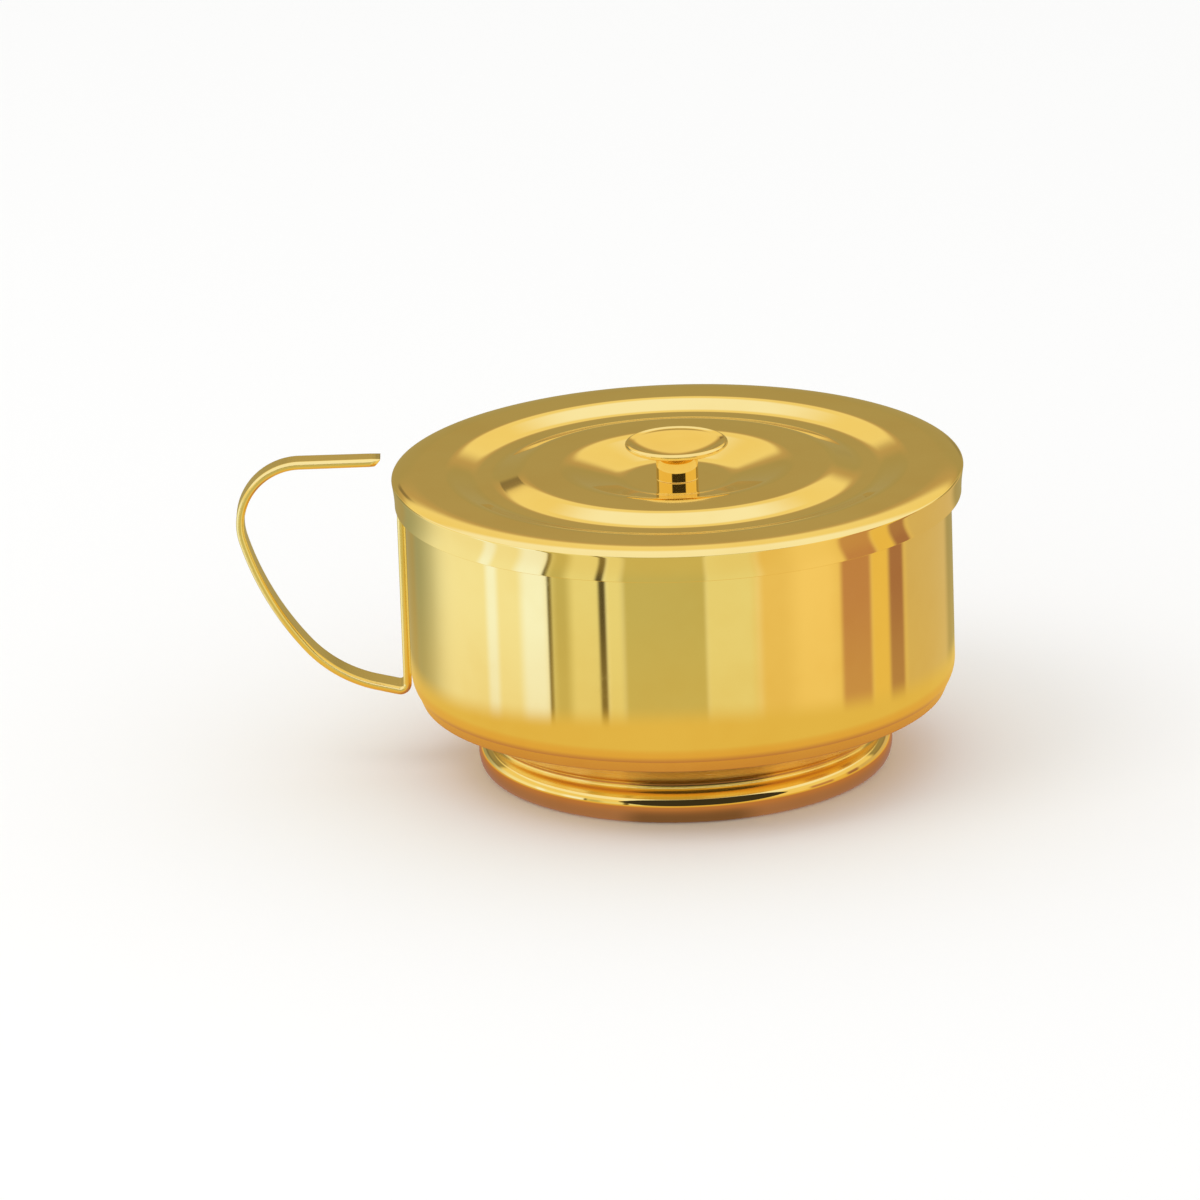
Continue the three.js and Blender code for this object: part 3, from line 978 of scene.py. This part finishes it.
def glow(name, colour_of, cover_of=None):
    """A stage material that shines with one function's colour and hides as much as the other says."""
    finish = bpy.data.materials.new(name)
    finish.use_nodes = True
    finish.cycles.emission_sampling = "NONE"
    finish.node_tree.nodes.clear()
    maker = NodeMaker(finish.node_tree)
    inputs = {"Color": colour_of(maker), "Strength": 1.0}
    shine = maker.add("ShaderNodeEmission", {}, inputs)["Emission"]
    if cover_of:
        clear = maker.add("ShaderNodeBsdfTransparent")["BSDF"]
        shine = maker.add("ShaderNodeMixShader", {}, {0: cover_of(maker), 1: clear, 2: shine})["Shader"]
    maker.add("ShaderNodeOutputMaterial", {}, {"Surface": shine})
    return finish


def tent_colour(maker):
    """What the metal sees of the studio, by its bearing from the camera and its height in degrees."""
    parts = maker.split(maker.here())
    bearing = maker.math("ARCTAN2", parts["X"], parts["Y"] * -1) * math.degrees(1)
    level = maker.length(parts["X"], parts["Y"])
    height = maker.math("ARCTAN2", parts["Z"], level) * math.degrees(1)
    aside = bearing.math("ABSOLUTE")

    # The room below eye level
    room = maker.mix(LEFT_SHADE, CREAM_CLOTH, maker.step(bearing, *SHADE_TO_CREAM))
    for low, high, soft, colour in ROOM_STRIPES:
        room = maker.mix(room, colour, maker.between(bearing, low, high, soft))

    # Golden and white cloth above it, and a dark doorway in front
    room = maker.mix(room, GOLDEN_CLOTH, maker.step(height, *ROOM_TO_GOLDEN))
    to_back = maker.step(aside, *SIDES_TO_BACK)
    white_at_sides = maker.step(height, *SIDES_TO_WHITE) * (1 - to_back)
    white_behind = maker.step(height, *BACK_TO_WHITE) * to_back
    room = maker.mix(room, WHITE_CLOTH, white_at_sides + white_behind)
    doorway = maker.between(bearing, *DOORWAY_BEARING) * maker.between(height, *DOORWAY_HEIGHT)
    room = maker.mix(room, DARK_ROOM, doorway)

    # The backdrop behind, with dark flags at its sides
    behind = maker.mix(BACKDROP, WARM_BACKDROP, maker.step(height, *BACKDROP_TO_WARM))
    backdrop = maker.step(aside, *BACKDROP_EDGE) * maker.between(height, *BACKDROP_HEIGHT)
    room = maker.mix(room, behind, backdrop)
    black = maker.between(height, *BLACK_FLAG_HEIGHT) * maker.between(bearing, *BLACK_FLAG_BEARING)
    grey = maker.between(height, *GREY_FLAG_HEIGHT) * maker.between(bearing, *GREY_FLAG_BEARING)
    low = maker.between(height, *LOW_FLAG_HEIGHT) * maker.between(aside, *LOW_FLAG_ASIDE)
    flags = black * BLACK_FLAG_COVER + grey * GREY_FLAG_COVER + low * LOW_FLAG_COVER
    return maker.mix(room, DARK_GAP, flags.math("MINIMUM", FULLEST_COVER))


def table_colour(maker):
    """The warm table top that the foot and the belly see, with a painted shadow of the vessel on it: darker
    close by and darkest in front.
    """
    parts = maker.split(maker.here())
    from_middle = maker.length(parts["X"], parts["Y"])
    to_side = parts["X"].math("ABSOLUTE") / from_middle
    # Painted shadow of the vessel close to the foot, darkest in front and lighter at the sides
    contact_shadow = maker.mix(TABLE_CONTACT_SHADOW, SIDE_CONTACT_SHADOW, maker.step(to_side, *FRONT_TO_SIDE))
    top = maker.mix(ORANGE_TABLE, WARM_TABLE, maker.step(from_middle, *ORANGE_TO_WARM))
    top = maker.mix(TABLE_SHADE, top, maker.step(from_middle, *SHADE_TO_ORANGE))
    return maker.mix(contact_shadow, top, maker.step(from_middle, *CONTACT_SHADOW_TO_SHADE))


def table_cover(maker):
    """How much of the room the table top hides: all of it close by, then a soft edge and a haze."""
    parts = maker.split(maker.here())
    from_middle = maker.length(parts["X"], parts["Y"] + TABLE_FORWARD)
    edge = maker.step(from_middle, *TABLE_EDGE)
    haze = maker.step(from_middle, *TABLE_HAZE)
    return 1 - edge * TABLE_EDGE_COVER - haze * (1 - TABLE_EDGE_COVER)


def stage_object(name, shell, finish, at):
    """Puts a shell into the studio, apart from the vessel."""
    mesh = bpy.data.meshes.new(name)
    shell.to_mesh(mesh)
    shell.free()
    mesh.materials.append(finish)
    made = bpy.data.objects.new(name, mesh)
    made.location = at
    bpy.context.scene.collection.objects.link(made)
    return made


def card(name, shell, finish, at):
    """A card that the polished metal reflects and nothing else sees."""
    made = stage_object(name, shell, finish, at)
    made.visible_camera = False
    made.visible_diffuse = False
    made.visible_transmission = False
    made.visible_shadow = False
    made.visible_volume_scatter = False


def ball(radius):
    """A round shell about its own middle."""
    shell = bmesh.new()
    bmesh.ops.create_icosphere(shell, subdivisions=TENT_SUBDIVISIONS, radius=radius)
    return shell


def disc(radius, sides):
    """A level sheet with a round edge."""
    shell = bmesh.new()
    bmesh.ops.create_circle(shell, cap_ends=True, segments=sides, radius=radius)
    return shell


def low_card():
    """A low dark strip curved about the foot's front, high in its middle and thin at both ends."""
    shell = bmesh.new()
    middle = LOW_CARD_FOOT + LOW_CARD_HEIGHT * LOW_CARD_BELOW
    pairs = []
    for share in shares(LOW_CARD_STEPS):
        azimuth = math.radians(LOW_CARD_LEFT + (LOW_CARD_RIGHT - LOW_CARD_LEFT) * share)
        height = LOW_CARD_HEIGHT * (1 - (2 * share - 1) ** 4)
        across, ahead = LOW_CARD_RADIUS * math.sin(azimuth), -LOW_CARD_RADIUS * math.cos(azimuth)
        low = shell.verts.new((across, ahead, middle - height * LOW_CARD_BELOW))
        high = shell.verts.new((across, ahead, middle + height * (1 - LOW_CARD_BELOW) + LOW_CARD_TIP))
        pairs.append((low, high))
    for (low, high), (next_low, next_high) in zip(pairs, pairs[1:]):
        shell.faces.new((low, next_low, next_high, high))
    return shell


def studio():
    """Pale floor and world for the picture, and the cards that the gold reflects."""
    axis = Vector((AXIS_X * MM, 0, 0))
    card("studio_tent", ball(TENT_RADIUS), glow("tent_cloth", tent_colour), axis)
    table_top = glow("table_top", table_colour, table_cover)
    under_foot = axis - Vector((0, 0, TABLE_DEPTH))
    card("warm_table", disc(TABLE_RADIUS, TABLE_SIDES), table_top, under_foot)
    card("low_dark_card", low_card(), glow("low_dark_cloth", lambda maker: DARK_ROOM), axis)

    paper = bpy.data.materials.new("floor_paper")
    paper.use_nodes = True
    base = paper.node_tree.nodes["Principled BSDF"].inputs
    base["Base Color"].default_value = FLOOR_PAPER
    base["Roughness"].default_value = FLOOR_DULLNESS
    base["Specular IOR Level"].default_value = FLOOR_SHEEN
    ground = axis - Vector((0, 0, FLOOR_DEPTH))
    floor = stage_object("floor", disc(FLOOR_REACH, FLOOR_SIDES), paper, ground)
    floor.visible_glossy = False

    world = bpy.data.worlds.new("studio_light")
    bpy.context.scene.world = world
    world.use_nodes = True
    backdrop = world.node_tree.nodes["Background"].inputs
    backdrop["Color"].default_value = BACKGROUND_WHITE
    backdrop["Strength"].default_value = 1.0

    lamp = bpy.data.lights.new("soft_lamp", "AREA")
    lamp.shape = "DISK"
    lamp.size = LAMP_SIZE
    lamp.energy = LAMP_WATTS
    soft = bpy.data.objects.new("soft_lamp", lamp)
    soft.location = axis + LAMP_FROM_VESSEL
    soft.rotation_euler = (axis - soft.location).to_track_quat("-Z", "Y").to_euler()
    soft.visible_glossy = False
    bpy.context.scene.collection.objects.link(soft)


# Camera of the photograph: distance, height above level, roll, lens and the spot it looks at
CAMERA_DISTANCE = 2.5
CAMERA_ELEVATION = 18.15
CAMERA_ROLL = 1.95
CAMERA_LENS = 305.3
CAMERA_SENSOR = 36.0
CAMERA_SIGHT = 20.0
AIM_FROM_AXIS = Vector((-0.01996, 0, 0.04143))


def camera():
    """The camera of the photograph, turned a little about its line of sight."""
    seen = bpy.data.cameras.new("camera")
    seen.lens = CAMERA_LENS
    seen.sensor_width = CAMERA_SENSOR
    seen.clip_end = CAMERA_SIGHT
    eye = bpy.data.objects.new("camera", seen)
    aim = Vector((AXIS_X * MM, 0, 0)) + AIM_FROM_AXIS
    rise = math.radians(CAMERA_ELEVATION)
    eye.location = aim + Vector((0, -math.cos(rise), math.sin(rise))) * CAMERA_DISTANCE
    facing = (aim - eye.location).to_track_quat("-Z", "Y").to_matrix().to_4x4()
    roll = Matrix.Rotation(-math.radians(CAMERA_ROLL), 4, "Z")
    eye.matrix_world = Matrix.Translation(eye.location) @ facing @ roll
    bpy.context.scene.collection.objects.link(eye)
    bpy.context.scene.camera = eye


bpy.context.scene.view_settings.view_transform = "Standard"
camera()
ciborium()
studio()
